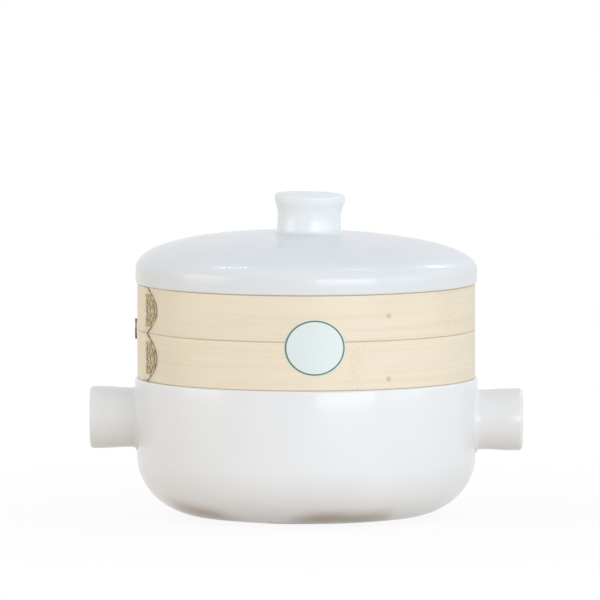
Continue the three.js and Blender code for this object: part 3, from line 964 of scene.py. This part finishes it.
def flat_strip():
    """A strip of unit size with its long edges eased, cut across so that it can bend."""
    def long_edges():
        return [e for e in strip.edges if abs(e.verts[0].co.x - e.verts[1].co.x) > 0.5]
    strip = bmesh.new()
    bmesh.ops.create_cube(strip, size=1.0)
    bmesh.ops.bevel(strip, geom=long_edges(), offset=CANE_EASE, segments=2, profile=0.5, affect="EDGES",
                    material=-1)
    bmesh.ops.subdivide_edges(strip, edges=long_edges(), cuts=CANE_CUTS)
    return strip


def laid_strip(bm, route, cane, radius, waves):
    """Adds a cane strip to a bmesh, bent onto the hoop along a route of azimuths and heights."""
    def flat(t):
        azimuth, z = route(t)
        return Vector((math.radians(azimuth) * radius, z))

    strip = flat_strip()
    width, thickness, lift = cane
    reach = (flat(1) - flat(0)).length
    near = 0.01
    map_uv(strip, lambda vert: (vert.co.x * reach, vert.co.y * width))
    for vert in strip.verts:
        t = vert.co.x + 0.5
        along = (flat(t + near) - flat(t - near)).normalized()
        place = flat(t) + Vector((-along.y, along.x)) * (vert.co.y * width)
        wave = lift * (0.5 + 0.5 * math.sin(waves * math.pi * t))
        out = radius + thickness * (vert.co.z + 0.5) + wave
        vert.co = at_azimuth(out, math.degrees(place.x / radius), place.y)
    face_outwards(strip)
    mesh = as_mesh("strip", strip)
    bm.from_mesh(mesh)
    bpy.data.meshes.remove(mesh)


def lacing_net(node, low, high):
    """Strips along the tongue's edge with slanting strips woven across them."""
    s = sizes()
    net_low, net_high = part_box(node)
    half = (high - low) / 2
    reach = (net_high[2] - net_low[2]) / 2
    bulge = math.degrees(s.tongue_bulge / HOOP_RADIUS)
    radius = HOOP_RADIUS + s.fit_gap / 2

    def along_edge(row):
        def route(t):
            height = (2 * t - 1) * reach / half
            spread = between(ROWS_GATHERED, 1.0, math.sin(math.pi * ramped(t, 0.0, 1.0)))
            azimuth = TONGUE_TIP - bulge * height ** 2 - FIRST_ROW - ROW_STEP * row * spread
            return Vector((azimuth, (low + high) / 2 + height * half))
        return route

    bm = bmesh.new()
    for row in range(ROWS):
        laid_strip(bm, along_edge(row), EDGE_CANE, radius, waves=CROSSINGS)
    for i in range(CROSSINGS):
        t = (i + 0.5) / CROSSINGS
        for slant in (-CROSS_SLANT, CROSS_SLANT):
            front = along_edge(-CROSS_PAST)(t - slant)
            back = along_edge(ROWS - 1 + CROSS_PAST)(t + slant)
            laid_strip(bm, straight(front, back), CROSS_CANE, radius + CROSS_RAISE, waves=ROWS)
    return bm


def seam_tie():
    """Two upright turns of cane side by side over the seam of the hoops."""
    low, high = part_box("seam_tie")
    middle = azimuth_of(((low[0] + high[0]) / 2, (low[1] + high[1]) / 2))
    bm = bmesh.new()
    for azimuth in (middle - TIE_APART, middle + TIE_APART):
        turn = straight((azimuth, low[2]), (azimuth, high[2]))
        laid_strip(bm, turn, TIE_CANE, HOOP_RADIUS + TIE_GAP, waves=1)
    return bm


class DONABE_OT_lacing(bpy.types.Operator):
    """Lace the laps and tie the seam with cane"""
    bl_idname = "donabe.lacing"
    bl_label = "Lacing and tie"

    def execute(self, context):
        tone = finish()
        cane = cane_finish("lacing_cane", tone.cane, tone.cane_shade)
        for hoop in (UPPER_HOOP, LOWER_HOOP):
            node = f"{hoop.row}_lacing"
            net = lacing_net(node, hoop.low, hoop.high)
            piece(f"{hoop.row}_lacing_net", net, cane, "steamer", [node])
        dark = cane_finish("tie_cane", tone.cane_dark, tone.cane)
        piece("seam_tie_loop", seam_tie(), dark, "steamer", ["seam_tie"])
        return {"FINISHED"}


# Pegs

PEGS_IN_ROW = 4


def peg(node):
    """A whittled round peg with a domed head, driven square to the hoop where its node is."""
    head_rise = 0.4 * MM
    head_dome = 0.3 * MM
    head_edge = 0.7 * MM
    tail_share = 0.9
    tail_taper = 1 * MM
    tail_edge = 0.3 * MM
    low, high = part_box(node)
    middle = (Vector(low) + Vector(high)) / 2
    radius = (high[2] - low[2]) / 2
    head = HOOP_RADIUS + head_rise
    tail = 2 * math.hypot(middle.x, middle.y) - head
    outline = smoothed([(0, tail), (radius * tail_share, tail), (radius, tail + tail_taper), (radius, head),
                        (0, head + head_dome)], [tail_edge, tail_edge, head_edge], steps=4)
    bm = spun(outline, steps=28)
    map_uv(bm, lambda vert: (vert.co.z, vert.co.x))
    out = at_azimuth(1, azimuth_of(middle), 0)
    turn = out.to_track_quat("Z", "Y").to_matrix().to_4x4()
    bmesh.ops.transform(bm, matrix=Matrix.Translation((0, 0, middle.z)) @ turn, verts=bm.verts)
    return bm


class DONABE_OT_pegs(bpy.types.Operator):
    """Drive the pegs through hoops and liner"""
    bl_idname = "donabe.pegs"
    bl_label = "Pegs"

    def execute(self, context):
        tone = finish()
        wood = cane_finish("peg_bamboo", tone.inner, tone.bamboo_dark)
        for row in ("upper", "lower"):
            for place in range(1, PEGS_IN_ROW + 1):
                node = f"{row}_pin_{place}"
                piece(f"{row}_peg_{place}", peg(node), wood, "steamer", [node])
        return {"FINISHED"}


# Label

def label_oval():
    """A thin paper oval on the front of the hoops where its node is."""
    outer_gap = 0.4 * MM
    thickness = 0.3 * MM
    rings = 10
    low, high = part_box("label")
    left = math.degrees(math.asin(low[0] / HOOP_RADIUS))
    right = math.degrees(math.asin(high[0] / HOOP_RADIUS))
    half_height = (high[2] - low[2]) / 2
    middle_z = (high[2] + low[2]) / 2
    bm = bmesh.new()
    bmesh.ops.create_circle(bm, cap_ends=True, segments=96, radius=1.0)
    for _ in range(rings):
        inner = [f for f in bm.faces if len(f.verts) > 4]
        bmesh.ops.inset_region(bm, faces=inner, thickness=1.0 / (rings + 1), use_boundary=True)
    map_uv(bm, lambda vert: (vert.co.x, vert.co.y))
    for vert in bm.verts:
        azimuth = (left + right) / 2 + (right - left) / 2 * vert.co.x
        vert.co = at_azimuth(HOOP_RADIUS + outer_gap, azimuth, middle_z + half_height * vert.co.y)
    face_outwards(bm)
    bmesh.ops.solidify(bm, geom=bm.faces[:], thickness=thickness)
    face_outwards(bm)
    return bm


class DONABE_OT_label(bpy.types.Operator):
    """Stick the blank oval label on the front"""
    bl_idname = "donabe.label"
    bl_label = "Label"

    def execute(self, context):
        piece("label_blank", label_oval(), label_finish(), "steamer", ["label"])
        return {"FINISHED"}


# Inside of the tier

SLATS = 13
BATTENS = 2

# Radii of the eased edges
RING_EDGE = 0.5 * MM
REST_EDGE = 0.4 * MM
SLAT_EDGE = 0.5 * MM
BATTEN_EDGE = 0.8 * MM

# Faces that meet flatter than this are joined, and edges sharper than this are eased, in degrees
FLAT_ANGLE = 1.0
EASED_ANGLE = 40.0


def plain_ring(low, high, thickness):
    """A bamboo ring of rectangular section with eased edges, between the corners of its node's box."""
    outer = high[1]
    bm = spun(section(outer - thickness, outer, low[2], high[2], RING_EDGE), steps=144, closed=True)
    unroll(bm, outer)
    return bm


def eased_copy(node, edge):
    """A bmesh of a node's solid with its sharp edges eased."""
    bm = bmesh.new()
    bm.from_mesh(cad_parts[node].data)
    bmesh.ops.remove_doubles(bm, verts=bm.verts, dist=WELD)
    bmesh.ops.dissolve_limit(bm, angle_limit=math.radians(FLAT_ANGLE), verts=bm.verts, edges=bm.edges)
    limit = math.radians(EASED_ANGLE)
    sharp = [e for e in bm.edges if len(e.link_faces) == 2 and e.calc_face_angle() > limit]
    bmesh.ops.bevel(bm, geom=sharp, offset=edge, segments=3, profile=0.5, affect="EDGES", material=-1)
    face_outwards(bm)
    return bm


def board(node, edge):
    """A split bamboo board where its node is, with a UV map in metres along its grain."""
    bm = eased_copy(node, edge)
    longest = max(bm.edges, key=lambda e: e.calc_length())
    along = (longest.verts[1].co - longest.verts[0].co).normalized()
    across = Vector((-along.y, along.x, 0))
    map_uv(bm, lambda vert: (vert.co.dot(along), vert.co.dot(across) + vert.co.z))
    return bm


class DONABE_OT_basket(bpy.types.Operator):
    """Make the liner, the rings, the slats and the battens inside the tier"""
    bl_idname = "donabe.basket"
    bl_label = "Basket inside"

    def execute(self, context):
        s = sizes()
        wood = inner_finish()
        rest = eased_copy("slat_ring", REST_EDGE)
        unroll(rest, RING_HIGH[1])
        parts = [("liner_strip", "liner_hoop", plain_ring(LINER_LOW, LINER_HIGH, s.liner_thickness)),
                 ("slat_keeper", "keeper_hoop", plain_ring(KEEPER_LOW, KEEPER_HIGH, s.keeper_thickness)),
                 ("slat_rest", "slat_ring", rest)]
        for place in range(1, SLATS + 1):
            node = f"slat_{place:02d}"
            parts.append((f"slat_board_{place:02d}", node, board(node, SLAT_EDGE)))
        for place in range(1, BATTENS + 1):
            node = f"batten_{place}"
            parts.append((f"batten_bar_{place}", node, board(node, BATTEN_EDGE)))
        for name, node, bm in parts:
            piece(name, bm, wood, "steamer", [node])
        return {"FINISHED"}


# Stage

# Tints of the even light, of what the camera sees round the object, and of the floor's paper
WORLD_TINT = (0.94, 0.97, 1.0, 1)
WHITE = (1, 1, 1, 1)
PAPER = (0.95, 0.95, 0.95, 1)

# Half the floor's width in metres, and its squares each way
FLOOR_REACH = 4.0
FLOOR_SQUARES = 8

# Where the floor's paper fades into plain white, in metres from the middle, and the white's share before it
FADE_NEAR = 0.12
FADE_FAR = 0.5
FADE_FROM = 0.91

# Where the lamps point, and each lamp's name, power setting, place, width, height and tint, in metres
LAMP_AIM = (0, 0, 0.11)
LAMPS = (
    ("key", "key", (1.1, -2.2, 0.25), 1.8, 1.0, (0.93, 0.96, 1.0)),
    ("fill_left", "fill_left", (-2.2, -0.7, 0.5), 1.4, 1.0, (1.0, 0.92, 0.80)),
    ("fill_right", "fill_right", (2.2, -0.8, 0.1), 1.4, 1.0, (0.88, 0.97, 1.0)),
    ("top_right", "top", (1.1, 1.13, 1.4), 0.05, 0.5, (1, 1, 1)),
    ("top_middle", "top", (0.67, 0.06, 2.1), 0.05, 0.5, (1, 1, 1)),
    ("top_left", "top", (-0.9, 0.3, 1.95), 0.05, 0.5, (1, 1, 1)),
)

# The camera's sensor width in millimetres, and how far it sees in metres
SENSOR = 36.0
SIGHT = 50


def white_to_camera(tree, shown, light):
    """Mixes what the camera, reflections and clear rays see with what lights the object."""
    path = add_node(tree, "ShaderNodeLightPath").outputs
    seen = path["Is Camera Ray"]
    for kind in ("Is Glossy Ray", "Is Transmission Ray"):
        seen = add_sum(tree, "ShaderNodeMath", "MAXIMUM", seen, path[kind])["Value"]
    return mixed(tree, seen, light, shown)


def mixed(tree, *sockets):
    """Blends two shaders by a factor that is given first."""
    mix = add_node(tree, "ShaderNodeMixShader")
    for socket, place in zip(sockets, mix.inputs):
        put(tree, socket, place)
    return mix.outputs["Shader"]


def add_world(stage):
    """White to the camera, and a soft even light on the object."""
    world = bpy.data.worlds.new("studio")
    bpy.context.scene.world = world
    world.use_nodes = True
    tree = world.node_tree
    tree.nodes.clear()
    white = add_node(tree, "ShaderNodeBackground", Color=WHITE, Strength=1.0)
    even = add_node(tree, "ShaderNodeBackground", Color=WORLD_TINT, Strength=stage.world)
    surface = white_to_camera(tree, white.outputs["Background"], even.outputs["Background"])
    add_node(tree, "ShaderNodeOutputWorld", Surface=surface)


def floor_finish(stage):
    """Paper that keeps a soft shadow near the object and fades into white."""
    shader = Shader("floor_paper")
    away = shader.vector_math("LENGTH", shader.coordinates())["Value"]
    fade = shader.ramp(away, low=FADE_NEAR, high=FADE_FAR, to_low=FADE_FROM)
    paper = shader.add("ShaderNodeBsdfDiffuse", Color=PAPER)["BSDF"]
    white = shader.add("ShaderNodeEmission", Strength=1.0)["Emission"]
    bounce = shader.add("ShaderNodeBsdfDiffuse", Color=(*stage.floor, 1))["BSDF"]
    shown = mixed(shader.tree, fade, paper, white)
    return shader.surfaced(white_to_camera(shader.tree, shown, bounce))


def add_floor(stage):
    """A wide pale floor that is nearly white to the camera."""
    bm = bmesh.new()
    bmesh.ops.create_grid(bm, x_segments=FLOOR_SQUARES, y_segments=FLOOR_SQUARES, size=FLOOR_REACH)
    mesh = as_mesh("floor", bm)
    mesh.materials.append(floor_finish(stage))
    floor = placed("floor", mesh)


def add_lamp(name, watts, place, wide, high, tint):
    data = bpy.data.lights.new(name, "AREA")
    data.shape = "RECTANGLE"
    data.size = wide
    data.size_y = high
    data.energy = watts
    data.color = tint
    lamp = placed(name, data)
    lamp.location = place
    lamp.rotation_euler = (Vector(LAMP_AIM) - Vector(place)).to_track_quat("-Z", "Y").to_euler()


def add_camera(stage):
    data = bpy.data.cameras.new("camera")
    data.sensor_width = SENSOR
    data.sensor_fit = "HORIZONTAL"
    data.lens = data.sensor_width * stage.distance / (stage.pixels * stage.pixel_size)
    data.clip_end = SIGHT
    camera = placed("camera", data)
    aim = Vector((stage.aim_across, 0, stage.aim_height))
    back = Vector((0, -math.cos(stage.elevation), math.sin(stage.elevation)))
    camera.location = aim + back * stage.distance
    camera.rotation_euler = (-back).to_track_quat("-Z", "Y").to_euler()
    bpy.context.scene.camera = camera


class DONABE_OT_stage(bpy.types.Operator):
    """Set the floor, the soft lights and the camera"""
    bl_idname = "donabe.stage"
    bl_label = "Stage"

    def execute(self, context):
        stage = context.scene.donabe_stage
        context.scene.view_settings.view_transform = "Standard"
        add_world(stage)
        add_floor(stage)
        for name, setting, *form in LAMPS:
            add_lamp(name, getattr(stage, setting), *form)
        add_camera(stage)
        return {"FINISHED"}


class DONABE_PT_panel(bpy.types.Panel):
    """Lists the steps that build the donabe"""
    bl_idname = "DONABE_PT_panel"
    bl_label = "Donabe"
    bl_space_type = "VIEW_3D"
    bl_region_type = "UI"
    bl_category = "Donabe"

    def draw(self, context):
        for step in STEPS:
            self.layout.operator(step.bl_idname)


STEPS = (DONABE_OT_stage, DONABE_OT_pot, DONABE_OT_lid, DONABE_OT_hoops, DONABE_OT_lacing, DONABE_OT_pegs,
         DONABE_OT_label, DONABE_OT_basket)
CLASSES = (DonabeSizes, DonabeFinish, DonabeStage, *STEPS, DONABE_PT_panel)


def register():
    for item in CLASSES:
        bpy.utils.register_class(item)
    bpy.types.Scene.donabe_sizes = PointerProperty(type=DonabeSizes)
    bpy.types.Scene.donabe_finish = PointerProperty(type=DonabeFinish)
    bpy.types.Scene.donabe_stage = PointerProperty(type=DonabeStage)


def unregister():
    del bpy.types.Scene.donabe_stage
    del bpy.types.Scene.donabe_finish
    del bpy.types.Scene.donabe_sizes
    for item in reversed(CLASSES):
        bpy.utils.unregister_class(item)


def main():
    register()
    for step in STEPS:
        getattr(bpy.ops.donabe, step.bl_idname.partition(".")[2])()


if __name__ == "__main__":
    main()
